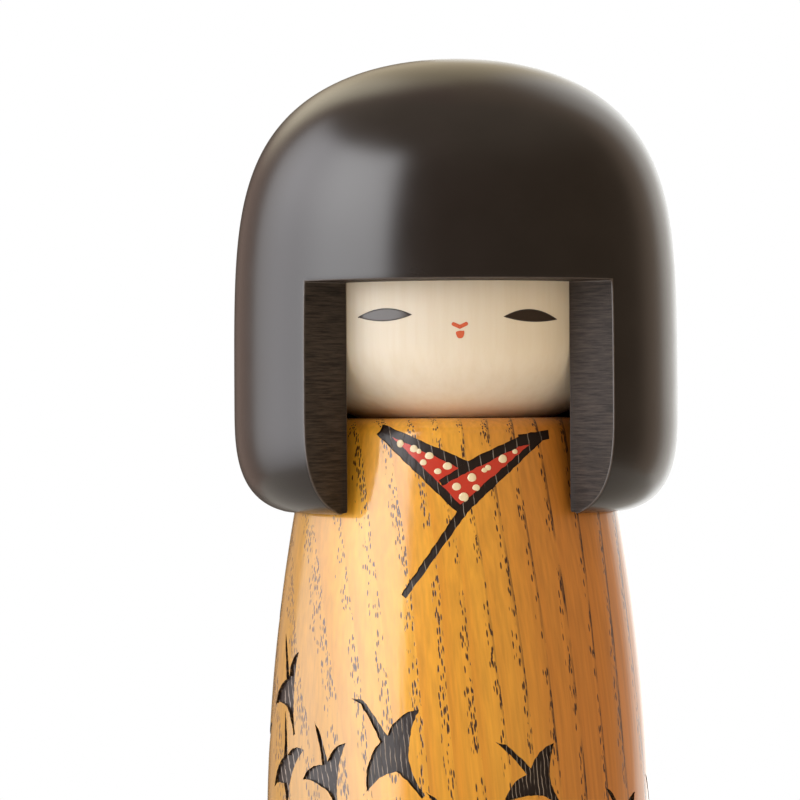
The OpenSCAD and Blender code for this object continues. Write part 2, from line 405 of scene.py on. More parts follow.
@dataclass(frozen=True)
class Finish:
    """One real surface: what it is made of and how it was worked.

    Its figure lays a second colour over the first, from none at the first
    number of shown to the third number's share at the second. It may stand up
    as a relief too, which has a strength and a depth in metres.
    """

    name: str
    under: str
    over: str
    figure: Figure
    shown: Triple = (0.0, 1.0, 1.0)
    fade: str = "LINEAR"
    relief: Relief = None
    rough: float = 0.5
    ior: float = 1.5

    def material(self) -> bpy.types.Material:
        """The finish as a material, made once."""
        known = bpy.data.materials.get(self.name)
        if known:
            return known
        made = bpy.data.materials.new(self.name)
        made.use_nodes = True
        tree = made.node_tree
        shader = tree.nodes["Principled BSDF"]
        shader.inputs["Roughness"].default_value = self.rough
        shader.inputs["IOR"].default_value = self.ior
        self.dress(tree, shader, add(tree, "TexCoord", out="Object"))
        return made

    def dress(self, tree: Tree, shader: Node, place: Socket) -> None:
        """Adds the finish's nodes.

        Args:
            tree: The material's tree.
            shader: Its Principled shader.
            place: The point on the object, in metres.
        """
        figure = self.figure.on(tree, place)
        low, high, top = self.shown
        weight = add(tree, "MapRange", span(figure, low, high, top), interpolation_type=self.fade)
        self.lay(tree, shader, weight, figure)

    def lay(self, tree: Tree, shader: Node, weight: Socket, height: Socket) -> None:
        """Lays the second colour over the first, and gives the surface its relief.

        Args:
            tree: The material's tree.
            shader: Its Principled shader.
            weight: How much of the second colour shows, from 0 to 1.
            height: How far the surface stands up, from 0 to 1.
        """
        tone = add(tree, "Mix", coats(weight, linear(self.under), linear(self.over)), **MIX)
        tree.links.new(tone, shader.inputs["Base Color"])
        if self.relief:
            strength, depth = self.relief
            bump = add(tree, "Bump", {"Height": height, "Strength": strength, "Distance": depth})
            tree.links.new(bump, shader.inputs["Normal"])


@dataclass(frozen=True)
class LacqueredChestnut(Finish):
    """Chestnut, turned, stained amber and lacquered.

    Upright growth rings that start with rows of long dark pores, under a clear
    gloss that shows the room as a pale veil. Each ring goes from gold to amber.
    The wood is darker on the side towards the pith, where the rows run
    together into long lines. Each field that ends in shown or edge says where
    something begins, where it is all there and, if a third number is given,
    how strong it is there.
    """

    name: str = "lacquered_chestnut"
    under: str = "#f5b234"
    over: str = "#de9424"
    figure: Figure = Figure(0.9 * MM, 3.0, (1, 1, 0.035))
    ior: float = 1.45
    sap: str = "#bd8830"
    heart: str = "#be722a"
    sap_shown: Triple = (0.42, 0.2, 0.85)
    heart_shown: Triple = (0.5, 1.0, 0.85)
    late_shown: Triple = (0.45, 1.0, 0.45)
    cloud: Figure = Figure(14 * MM, 2.0, (1, 1, 0.12))
    cloud_shown: Triple = (0.35, 0.7, 0.55)
    streaks: tuple[float, ...] = (0.3, 0.7, 1.1, 0.86)
    wood_relief: Relief = (0.5, 0.06 * MM)
    coat_relief: Relief = (0.35, 0.05 * MM)
    pore: str = "#3d1f10"
    ring: float = 5.6 * MM
    outer_ring: float = 43.0
    pith_ring: float = 29.0
    pore_width: float = 0.42 * MM
    pore_length: float = 2.2 * MM
    lean: float = 5.5
    pore_edge: tuple[float, float] = (0.52, 0.34)
    early_far: float = 0.62
    early_near: float = 0.3
    early_shown: Triple = (1.0, 0.3, 0.95)
    clump: Figure = Figure(3.2 * MM, 2.0, (1, 1, 0.3))
    clump_shown: tuple[float, float] = (0.3, 0.6)
    ragged: Figure = Figure(0.7 * MM, 2.0, (1, 1, 0.2))
    ragged_by: float = 0.16
    row_edge: tuple[float, float] = (0.2, 0.12)
    row_shown: Triple = (0.5, 0.95, 0.85)
    pith: tuple[float, float] = (200 * MM, -6 * MM)
    wander: Figure = Figure(24 * MM, 1.0, (1, 1, 0.25))
    wander_by: float = 3.2 * MM
    coat_rough: float = 0.09

    def dress(self, tree: Tree, shader: Node, place: Socket) -> None:
        """Adds the rings, the pores, the fibre and the lacquer."""
        grain = self.grain(tree, place)
        ring = self.rings(tree, grain)
        within = add(tree, "Math", {0: ring}, operation="FRACT")
        pithward = add(tree, "MapRange", span(ring, self.outer_ring, self.pith_ring))
        pores = self._pores(tree, grain, within, pithward)
        fibre = self.figure.on(tree, grain)
        late = add(tree, "MapRange", span(within, *self.late_shown), **SMOOTH)
        cloud = self.cloud.on(tree, grain)
        cloudy = add(tree, "MapRange", span(cloud, *self.cloud_shown), **SMOOTH)
        amber = add(tree, "Math", {0: late, 1: cloudy}, operation="ADD", use_clamp=True)
        tone = add(tree, "Mix", coats(amber, linear(self.under), linear(self.over)), **MIX)
        for colour, shown in ((self.sap, self.sap_shown), (self.heart, self.heart_shown)):
            share = add(tree, "MapRange", span(pithward, *shown), **SMOOTH)
            tone = add(tree, "Mix", coats(share, tone, linear(colour)), **MIX)
        streak = add(tree, "MapRange", span(fibre, *self.streaks))
        tone = add(tree, "VectorMath", {0: tone, "Scale": streak}, operation="SCALE")
        tone = add(tree, "Mix", coats(pores, tone, linear(self.pore)), **MIX)
        tree.links.new(tone, shader.inputs["Base Color"])
        height = add(tree, "Math", {0: fibre, 1: pores}, operation="SUBTRACT")
        for socket, relief in (("Normal", self.wood_relief), ("Coat Normal", self.coat_relief)):
            bump = add(tree, "Bump", {"Height": height, "Strength": relief[0], "Distance": relief[1]})
            tree.links.new(bump, shader.inputs[socket])
        shader.inputs["Coat Weight"].default_value = 1.0
        shader.inputs["Coat Roughness"].default_value = self.coat_rough
        shader.inputs["Coat IOR"].default_value = self.ior

    def grain(self, tree: Tree, place: Socket) -> Socket:
        """The point in the tree trunk's own frame, with the grain upright."""
        return add(tree, "Mapping", {"Vector": place, "Rotation": (0, math.radians(self.lean), 0)})

    def rings(self, tree: Tree, grain: Socket) -> Socket:
        """The number of growth rings between a point and the pith, with its fraction."""
        out = add(tree, "VectorMath", {0: grain, 1: (*self.pith, 0)}, operation="SUBTRACT")
        flat = add(tree, "VectorMath", {0: out, 1: (1, 1, 0)}, operation="MULTIPLY")
        far = add(tree, "VectorMath", {0: flat}, "Value", operation="LENGTH")
        wander = self.wander.on(tree, grain)
        shift = add(tree, "MapRange", span(wander, 0, 1, self.wander_by, -self.wander_by))
        away = add(tree, "Math", {0: far, 1: shift}, operation="ADD")
        return add(tree, "Math", {0: away, 1: self.ring}, operation="DIVIDE")

    def _pores(self, tree: Tree, grain: Socket, within: Socket, pithward: Socket) -> Socket:
        """The long vessels that open in the early wood of each ring.

        Args:
            tree: The material's tree.
            grain: The point, with the grain upright.
            within: How far through its ring the point is, from 0 to 1.
            pithward: 0 on the side away from the pith, 1 towards it.

        Returns:
            1 inside a pore and 0 outside, with a soft edge.
        """
        size = (1 / self.pore_width, 1 / self.pore_width, 1 / self.pore_length)
        cells = add(tree, "Mapping", {"Vector": grain, "Scale": size})
        vessel = add(tree, "TexVoronoi", {"Vector": cells, "Scale": 1.0}, "Distance", feature="F1")
        hole = add(tree, "MapRange", span(vessel, *self.pore_edge), **SMOOTH)
        wide = add(tree, "MapRange", span(pithward, 0, 1, self.early_near, self.early_far))
        depth = add(tree, "Math", {0: within, 1: wide}, operation="DIVIDE")
        early = add(tree, "MapRange", span(depth, *self.early_shown), **SMOOTH)
        clump = self.clump.on(tree, grain)
        opened = add(tree, "MapRange", span(clump, *self.clump_shown), **SMOOTH)
        odds = add(tree, "Math", {0: early, 1: opened}, operation="MULTIPLY")
        chance = add(tree, "SeparateColor", {"Color": vessel.node.outputs["Color"]})
        present = add(tree, "Math", {0: chance, 1: odds}, operation="LESS_THAN")
        single = add(tree, "Math", {0: hole, 1: present}, operation="MULTIPLY")
        ragged = self.ragged.on(tree, grain)
        edge = add(tree, "Math", {0: ragged, 1: self.ragged_by, 2: within}, operation="MULTIPLY_ADD")
        row = add(tree, "MapRange", span(edge, *self.row_edge), **SMOOTH)
        row = add(tree, "Math", {0: row, 1: opened}, operation="MULTIPLY")
        run = add(tree, "MapRange", span(pithward, *self.row_shown), **SMOOTH)
        row = add(tree, "Math", {0: row, 1: run}, operation="MULTIPLY")
        return add(tree, "Math", {0: single, 1: row}, operation="MAXIMUM")


@dataclass(frozen=True)
class ChiselledWall(Finish):
    """The wall of a carved recess: black stain with uneven pale patches, partly bare wood and partly a
    painted highlight.
    """

    name: str = "chiselled_wall"
    under: str = "#2b1d14"
    # The pale patches are partly bare wood and partly a painted highlight.
    over: str = "#a9814e"
    figure: Figure = Figure(0.7 * MM, 2.0)
    shown: Triple = (0.52, 0.68, 0.6)
    fade: str = "SMOOTHSTEP"
    rough: float = 0.35


@dataclass(frozen=True)
class WaxedDogwood(Finish):
    """Dogwood, turned smooth and waxed: pale, close-grained, with a faint upright figure."""

    name: str = "waxed_dogwood"
    under: str = "#efe3d0"
    over: str = "#e9dac3"
    figure: Figure = Figure(2.2 * MM, 4.0, (1, 1, 0.06), 0.6)
    shown: Triple = (0.4, 0.75, 0.8)
    relief: Relief = (0.2, 0.02 * MM)
    ior: float = 1.42
    dullest: float = 0.58
    glossiest: float = 0.46
    clearness: float = 0.12
    glow_depth: float = 1.5 * MM

    def lay(self, tree: Tree, shader: Node, weight: Socket, height: Socket) -> None:
        """Lays the faint figure, with the wax duller on it and the wood a little clear."""
        super().lay(tree, shader, weight, height)
        rough = add(tree, "MapRange", span(height, 0, 1, self.dullest, self.glossiest))
        tree.links.new(rough, shader.inputs["Roughness"])
        shader.inputs["Subsurface Weight"].default_value = self.clearness
        shader.inputs["Subsurface Radius"].default_value = (1.0, 0.6, 0.35)
        shader.inputs["Subsurface Scale"].default_value = self.glow_depth


@dataclass(frozen=True)
class BlackLacquer(Finish):
    """Wood turned, stained black-brown and rubbed to a satin lacquer.

    It mirrors a window as a soft grey band, and fine rings from the lathe and
    the rubbing cloth break the band up a little.
    """

    name: str = "black_lacquer_satin"
    under: str = "#1f1916"
    over: str = "#27201d"
    figure: Figure = Figure(9 * MM)
    lathe: Figure = Figure(0.9 * MM, 3.0, (0, 0, 1))
    relief: Relief = (0.1, 0.006 * MM)
    dullest: float = 0.25
    glossiest: float = 0.22

    def dress(self, tree: Tree, shader: Node, place: Socket) -> None:
        """Adds the stain, the rubbed sheen and the lathe's rings."""
        cloud = self.figure.on(tree, place)
        self.lay(tree, shader, cloud, self.lathe.on(tree, place))
        rough = add(tree, "MapRange", span(cloud, 0.3, 0.7, self.dullest, self.glossiest))
        tree.links.new(rough, shader.inputs["Roughness"])


@dataclass(frozen=True)
class SawnStained(Finish):
    """The sawn faces of the window: stained grain with level saw marks, not lacquered."""

    name: str = "sawn_stained_wood"
    under: str = "#241e1b"
    over: str = "#4a403a"
    figure: Figure = Figure(0.42 * MM, 4.0, (0.07, 0.07, 1), 0.7)
    shown: Triple = (0.36, 0.7, 1.0)
    relief: Relief = (0.6, 0.12 * MM)
    rough: float = 0.6
    ior: float = 1.3


@dataclass(frozen=True)
class PaintedEdgeHighlight(Finish):
    """The window's eased edges, painted lighter than the lacquer as a highlight where they catch the light.
    """

    name: str = "painted_edge_highlight"
    under: str = "#332b27"
    over: str = "#5b504a"
    figure: Figure = Figure(1.5 * MM)
    rough: float = 0.35


@dataclass(frozen=True)
class CarvedBlack(Finish):
    """Black stain and lacquer on a chiselled floor.

    The hard lines of the chestnut's grain stand up through it in thin upright
    ridges, a set number of them to each growth ring. Their pale colour is
    partly wood showing through and partly a painted highlight on the ridges.
    """

    name: str = "carved_black"
    under: str = "#251a16"
    over: str = "#ab9b8e"
    figure: Figure = Figure(0.9 * MM, 3.0, (1, 1, 0.2))
    relief: Relief = (0.6, 0.14 * MM)
    rough: float = 0.34
    ior: float = 1.4
    bend: Figure = Figure(2.5 * MM, 2.0)
    bend_by: float = 0.12
    left_from: float = 0.36
    left_full: float = 0.56
    per_ring: float = 6.5
    ridge_width: float = 0.24
    strength: float = 0.9

    def dress(self, tree: Tree, shader: Node, place: Socket) -> None:
        """Adds the ridges as colour and relief under the gloss."""
        grain = CHESTNUT.grain(tree, place)
        ring = CHESTNUT.rings(tree, grain)
        bent = self.bend.on(tree, grain)
        ring = add(tree, "Math", {0: bent, 1: self.bend_by, 2: ring}, operation="MULTIPLY_ADD")
        lines = add(tree, "Math", {0: ring, 1: self.per_ring}, operation="MULTIPLY")
        off_line = add(tree, "Math", {0: lines, 1: 0.5}, operation="PINGPONG")
        line = add(tree, "MapRange", span(off_line, self.ridge_width / 2, self.ridge_width / 4), **SMOOTH)
        # The pale ridge colour is partly wood showing through and partly a painted highlight on the ridges.
        ridge_patches = self.figure.on(tree, grain)
        left = add(tree, "MapRange", span(ridge_patches, self.left_from, self.left_full, self.strength), **SMOOTH)
        pale = add(tree, "Math", {0: line, 1: left}, operation="MULTIPLY")
        self.lay(tree, shader, pale, add(tree, "Math", {0: ridge_patches, 1: pale}, operation="ADD"))


@dataclass(frozen=True)
class Enamel(Finish):
    """Brushed enamel or ink: one strong colour, a little uneven, with its own gloss."""

    figure: Figure = Figure(0.8 * MM)
    relief: Relief = (0.3, 0.02 * MM)


@dataclass(frozen=True)
class PlainBeech(Finish):
    """Beech dowel as bought: pinkish tan, with short fine flecks along it."""

    name: str = "plain_beech"
    under: str = "#d9b98e"
    over: str = "#b98f63"
    figure: Figure = Figure(0.5 * MM, 3.0, (1, 1, 0.12))
    rough: float = 0.65


@dataclass(frozen=True)
class PaperSweep(Finish):
    """The pale matt paper that the doll stands on, plain all over."""

    name: str = "paper_sweep"
    under: str = "#f7f6f4"
    over: str = "#f7f6f4"
    figure: Figure = Figure(1.0)
    rough: float = 0.8

    def dress(self, tree: Tree, shader: Node, place: Socket) -> None:
        """Gives it its one colour."""
        shader.inputs["Base Color"].default_value = linear(self.under)


CHESTNUT = LacqueredChestnut()
WALL = ChiselledWall()
DOGWOOD = WaxedDogwood()
HAIR_LACQUER = BlackLacquer()
SAWN = SawnStained()
EDGE = PaintedEdgeHighlight()
# Both carved blacks paint their grain ridges pale: partly wood showing through, partly a painted highlight.
CRANE_BLACK = CarvedBlack()
COLLAR_BLACK = CarvedBlack("collar_black", over="#a3978c", per_ring=2, ridge_width=0.08, strength=0.7)
RED = Enamel("red_brushed", "#cf3826", "#bb3a28", rough=0.3, relief=(0.3, 0.01 * MM))
CREAM = Enamel("cream_drops", "#f3e3c2", "#ead5a8", rough=0.35)
INK = Enamel("brushed_ink", "#33271f", "#3a2d24", rough=0.14, relief=(0.3, 0.006 * MM))
DRY_INK = Enamel("ink_border", "#3b2f27", "#2e241d", rough=0.6)
LIP = Enamel("lip_paint", "#e2643c", "#dd6a45", rough=0.4)
LIP_EDGE = Enamel("lip_border", "#cf4a2c", "#d65433", rough=0.5)
BEECH = PlainBeech()
PAPER = PaperSweep()


# ------------------------------------------------------------ the body


@dataclass
class Torso:
    """The barrel-shaped body, its carving and its paint. Sizes in millimetres."""

    belly_r: float = field(default_factory=lambda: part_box("body")[1].x / MM)
    top_z: float = field(default_factory=lambda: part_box("body")[1].z / MM)
    belly_z: float = 68.4
    belly_arc: float = 428
    shoulder: float = 5
    foot: float = 1.2
    bore_r: float = 6.06
    bore_depth: float = 15.5
    columns: int = 360
    row: float = 1.5
    line_depth: float = 0.9
    panel_depth: float = 0.5
    coat: float = 0.25

    def side(self, z: float) -> float:
        """The radius of the long arc at a height."""
        return self.belly_r - self.belly_arc + math.sqrt(self.belly_arc**2 - (z - self.belly_z) ** 2)

    def radius(self, z: float, inset: float) -> float:
        """The body's radius at a height, cut back by inset.

        Args:
            z: The height.
            inset: How far inside the surface.

        Returns:
            The radius, which follows the shoulder's rounding at the top.
        """
        spring = self.top_z - self.shoulder
        if z <= spring:
            return self.side(z) - inset
        reach = max(0.01, self.shoulder - inset)
        rise = min(z - spring, reach * 0.999)
        return self.side(spring) - self.shoulder + math.sqrt(reach**2 - rise**2)

    def lay(self, azimuth: float, deep: float, shallow: float) -> Place:
        """How a drawing is laid on the body's side.

        Args:
            azimuth: Where it is laid, in degrees from the front.
            deep: How far inside the surface its inner face lies.
            shallow: How far inside the surface its outer face lies.

        Returns:
            A function that slab() places its points with.
        """
        turn = Matrix.Rotation(math.radians(azimuth), 3, "Z")

        def place(across: float, up: float, outer: bool) -> Vector:
            """The place of a point of the drawing."""
            r = self.radius(up, shallow if outer else deep)
            return turn @ Vector((across, -math.sqrt(max(0.01, r * r - across * across)), up))

        return place

    def blank(self) -> Object:
        """The body as it leaves the lathe."""
        spring = self.top_z - self.shoulder
        foot = (self.side(self.foot) - self.foot, self.foot)
        shoulder = (self.side(spring) - self.shoulder, spring)
        profile = [(0, self.top_z - self.bore_depth), (self.bore_r, self.top_z - self.bore_depth)]
        profile += [(self.bore_r, self.top_z)]
        profile += arc(shoulder, self.shoulder, 90, 8, 12)
        profile += evenly(lambda z: (self.side(z), z), spring, self.foot, self.row)
        profile += arc(foot, self.foot, -15, -90, 5)
        profile += [(0, 0)]
        return make_object("body_turned", turned(profile, self.columns), CHESTNUT, WALL)


@dataclass(frozen=True)
class Crane:
    """One flying crane: where it is carved and how it flies. Sizes in millimetres."""

    azimuth: float
    height: float
    heading: float
    size: float
    lift_right: float
    lift_left: float
    nod: float
    wing: float = 10.6
    neck: float = 12.2
    legs: float = 12.0
    beak: float = 2.9
    neck_bow: float = 0.35
    front_bow: float = 2.6
    rear_bow: float = -1.6
    leg_bow: float = -0.9
    slip_step: float = 0.9
    slip: float = 0.14

    def outline(self, rng: random.Random) -> Outline:
        """The crane as it is cut, upright at its own height.

        Args:
            rng: Where the chisel's slips come from.

        Returns:
            The outline, across and up.
        """
        nod, right, left = (math.radians(a) for a in (self.nod, self.lift_right, self.lift_left))
        beak = (-self.beak * math.sin(nod), self.neck + self.beak * math.cos(nod))
        nape, throat = (0.55, self.neck + 0.3), (-0.5, self.neck - 0.2)
        front_right, rear_right = (1.0, 3.2), (2.0, -4.0)
        front_left, rear_left = (-1.1, 3.0), (-1.7, -4.2)
        tip_right = (self.wing * math.cos(right), self.wing * math.sin(right))
        tip_left = (-self.wing * math.cos(left), self.wing * math.sin(left))
        toe_right, toe_left = (0.55, 0.2 - self.legs), (-0.45, -0.1 - self.legs)
        clean = (
            [beak]
            + bow(nape, front_right, self.neck_bow)
            + bow(front_right, tip_right, self.front_bow)
            + bow(tip_right, rear_right, self.rear_bow)
            + bow(rear_right, toe_right, self.leg_bow)
            + [toe_right]
            + bow(toe_left, rear_left, self.leg_bow)
            + bow(rear_left, tip_left, self.rear_bow)
            + bow(tip_left, front_left, self.front_bow)
            + bow(front_left, throat, -self.neck_bow)
            + [throat]
        )
        turn = Matrix.Rotation(math.radians(self.heading), 2)
        cut = hand_cut(clean, self.slip_step, self.slip, rng)
        flown = [turn @ Vector(p) * self.size for p in cut]
        return [(p.x, p.y + self.height) for p in flown]


FLOCK = (
    Crane(-20.5, 94.0, 36, 1.00, 20, -22, 38),
    Crane(-42.0, 88.0, 22, 0.80, 34, 10, 10),
    Crane(-64.0, 105.0, 22, 0.86, 46, -4, 0),
    Crane(-63.0, 88.0, 8, 0.82, 24, -28, 6),
    Crane(22.0, 87.6, 44, 0.82, 16, 12, 18),
    Crane(-0.5, 75.2, 32, 0.84, 38, 4, 20),
    Crane(57.0, 75.0, 36, 0.82, 20, 10, 14),
    Crane(-37.5, 70.5, 20, 0.86, 28, -6, 12),
    Crane(18.0, 64.0, 40, 0.88, 22, -14, 24),
    Crane(41.0, 60.0, 46, 0.78, 18, 8, 16),
    Crane(-17.0, 56.5, 28, 0.84, 26, -18, 22),
    Crane(-63.0, 65.0, 14, 0.80, 30, 4, 8),
    Crane(68.0, 53.0, 40, 0.82, 16, -6, 20),
    Crane(-89.0, 91.0, 10, 0.82, 28, -12, 10),
    Crane(-90.0, 117.0, 14, 0.76, 34, 0, 6),
    Crane(-45.0, 46.0, 22, 0.80, 24, 6, 14),
    Crane(7.0, 41.0, 34, 0.80, 20, 10, 18),
    Crane(37.0, 36.0, 44, 0.82, 18, -16, 26),
    Crane(84.0, 76.0, 34, 0.78, 22, 8, 12),
    Crane(-90.0, 64.0, 10, 0.80, 26, -10, 8),
)


@dataclass
class Collar:
    """The crossed collar: carved lines, two red panels and their dots. Sizes in millimetres."""

    lines: tuple[tuple[Point, Point, float, float], ...] = (
        ((-17.0, 161.8), (0.6, 144.5), 2.0, 1.7),
        ((-16.7, 162.6), (1.6, 154.3), 1.6, 2.2),
        ((19.6, 160.8), (13.0, 159.6), 2.0, 2.6),
        ((14.6, 160.2), (1.5, 154.0), 2.0, 2.2),
        ((1.6, 153.9), (-4.0, 150.6), 1.9, 1.3),
        ((18.8, 160.9), (0.6, 145.0), 1.2, 2.2),
        ((0.9, 145.0), (-12.1, 126.6), 2.0, 1.3),
    )
    red_left: tuple[Point, ...] = ((-15.2, 161.1), (1.0, 154.4), (-3.9, 150.7), (-5.0, 150.3))
    red_right: tuple[Point, ...] = (
        (16.2, 159.25), (12.5, 158.6), (1.6, 153.9), (-4.0, 150.2), (0.6, 145.4),
    )
    dots: tuple[Triple, ...] = (
        (-12.6, 159.1, 0.85), (-9.7, 157.9, 0.90), (-8.6, 157.4, 0.60), (-6.4, 156.4, 0.90),
        (-7.7, 155.0, 0.75), (-2.5, 154.2, 1.00), (-4.6, 153.1, 0.75),
        (12.1, 157.2, 0.65), (9.4, 155.6, 1.00), (6.2, 153.8, 0.75), (5.4, 153.3, 0.60),
        (2.7, 151.7, 1.05), (-0.6, 149.8, 0.95), (3.6, 149.6, 0.80), (0.9, 147.6, 1.00),
    )

    def strokes(self) -> list[Outline]:
        """The strokes that the lines are cut with."""
        return [stroke(*line) for line in self.lines]


@dataclass
class CarvedBody:
    """The body with everything that is cut into it and painted on it."""

    torso: Torso = field(default_factory=Torso)
    collar: Collar = field(default_factory=Collar)
    seed: int = 7
    cell: float = 1.6
    overshoot: float = 1.2
    deepen: float = 0.015
    line_top: float = 0.46
    line_rise: float = 0.02
    slip_step: float = 1.0
    slip: float = 0.12
    drop_spread: tuple[float, float] = (0.9, 1.08)
    drop_round: float = 0.22

    def build(self) -> None:
        """Makes the carved body and every coat of paint in it."""
        rng = random.Random(self.seed)
        body = self.torso.blank()
        cranes = [crane.outline(rng) for crane in FLOCK]
        self._carve_cranes(body, cranes)
        strokes = [hand_cut(s, self.slip_step, self.slip, rng) for s in self.collar.strokes()]
        self._carve_collar(body, strokes)
        enrol(body, Body.TORSO, "chestnut", "body")
        for number, (crane, outline) in enumerate(zip(FLOCK, cranes), start=1):
            self._paint_crane(number, crane, outline)
        self._paint_lines(strokes)
        self._paint_panel("left", self.collar.red_left, strokes)
        self._paint_panel("right", self.collar.red_right, strokes)
        self._paint_dots(rng)

    def _slab(self, outline: Sequence[Point], deep: float, shallow: float, azimuth: float = 0) -> Mesh:
        """A drawing as a slab between two depths inside the body's side, at an azimuth."""
        return slab(list(outline), self.cell, self.torso.lay(azimuth, deep, shallow))

    def _carve_cranes(self, body: Object, cranes: list[Outline]) -> None:
        """Cuts the outline of every crane out of the body."""
        depth = self.torso.line_depth
        cutters = [self._slab(o, depth, -self.overshoot, crane.azimuth) for crane, o in zip(FLOCK, cranes)]
        cut_out(body, join(cutters), slot=1)

    def _carve_collar(self, body: Object, strokes: list[Outline]) -> None:
        """Cuts the collar's panels and then its lines, each line a hair deeper than the last.

        Args:
            body: The body so far.
            strokes: The outlines of the lines.
        """
        t, panels = self.torso, (self.collar.red_left, self.collar.red_right)
        cut_out(body, join([self._slab(p, t.panel_depth, -self.overshoot) for p in panels]), slot=1)
        for i, outline in enumerate(strokes):
            cut_out(body, self._slab(outline, t.line_depth + self.deepen * i, -self.overshoot), slot=1)

    def _paint_crane(self, number: int, crane: Crane, outline: Outline) -> None:
        """Lays the black on one crane's floor."""
        t = self.torso
        name = f"crane_{number:02d}"
        coat = self._slab(outline, t.line_depth, t.line_depth - t.coat, crane.azimuth)
        obj = make_object(f"{name}_black", coat, CRANE_BLACK)
        enrol(obj, Body.TORSO, "black_lacquer", name)

    def _paint_lines(self, strokes: list[Outline]) -> None:
        """Fills the collar's lines with black, stroke over stroke."""
        depth = self.torso.line_depth
        fills = [self._slab(o, depth, self.line_top - self.line_rise * i) for i, o in enumerate(strokes)]
        obj = make_object("collar_lines_black", join(fills), COLLAR_BLACK)
        enrol(obj, Body.TORSO, "black_lacquer", "collar_lines")

    def _paint_panel(self, which: str, outline: Sequence[Point], strokes: list[Outline]) -> None:
        """Lays the red on one panel's floor and cuts it back to the lines.

        Args:
            which: Which side the panel is on.
            outline: The panel's outline.
            strokes: The outlines of the lines.
        """
        t = self.torso
        coat = self._slab(outline, t.panel_depth, t.panel_depth - t.coat)
        obj = make_object(f"collar_{which}_enamel", coat, RED)
        for line in strokes:
            cut_out(obj, self._slab(line, t.line_depth, -self.overshoot), slot=0)
        enrol(obj, Body.TORSO, "red_enamel", f"collar_red_{which}")

    def _paint_dots(self, rng: random.Random) -> None:
        """Sets the cream drops on the red, each a flattened drop of its own shape."""
        t = self.torso
        drops = []
        for x, z, r in self.collar.dots:
            drop = bmesh.new()
            bmesh.ops.create_uvsphere(drop, u_segments=20, v_segments=10, radius=r)
            wide, tall = rng.uniform(*self.drop_spread), rng.uniform(*self.drop_spread)
            bmesh.ops.scale(drop, vec=(wide, self.drop_round, tall), verts=drop.verts)
            base = t.lay(0, t.panel_depth - t.coat, 0)(x, z, False)
            tip = Matrix.Rotation(math.asin(x / base.xy.length), 3, "Z")
            bmesh.ops.rotate(drop, cent=(0, 0, 0), matrix=tip, verts=drop.verts)
            bmesh.ops.translate(drop, vec=base, verts=drop.verts)
            drops.append(drop)
        obj = make_object("collar_drops", join(drops), CREAM)
        enrol(obj, Body.TORSO, "cream_enamel", "collar_dots")


# ------------------------------------------------------------ the head


@dataclass(frozen=True)
class Eye:
    """A closed eye, painted as a leaf. Sizes in millimetres."""

    side: int
    centre: Point
    half: float
    slant: float
    upper: float
    lower: float

    def outline(self) -> Outline:
        """The leaf: its upper edge arches more than its lower one."""
        x, z = self.centre
        inner = (x - self.side * self.half, z + self.slant)
        outer = (x + self.side * self.half, z - self.slant)
        upper = bow(inner, outer, self.side * self.upper, 20)
        return upper + bow(outer, inner, self.side * self.lower, 20)


LEFT_EYE = Eye(-1, (-15.75, 186.55), 5.85, 0.16, 3.25, 2.3)
RIGHT_EYE = Eye(1, (15.5, 185.9), 5.88, 0.26, 3.8, 1.6)


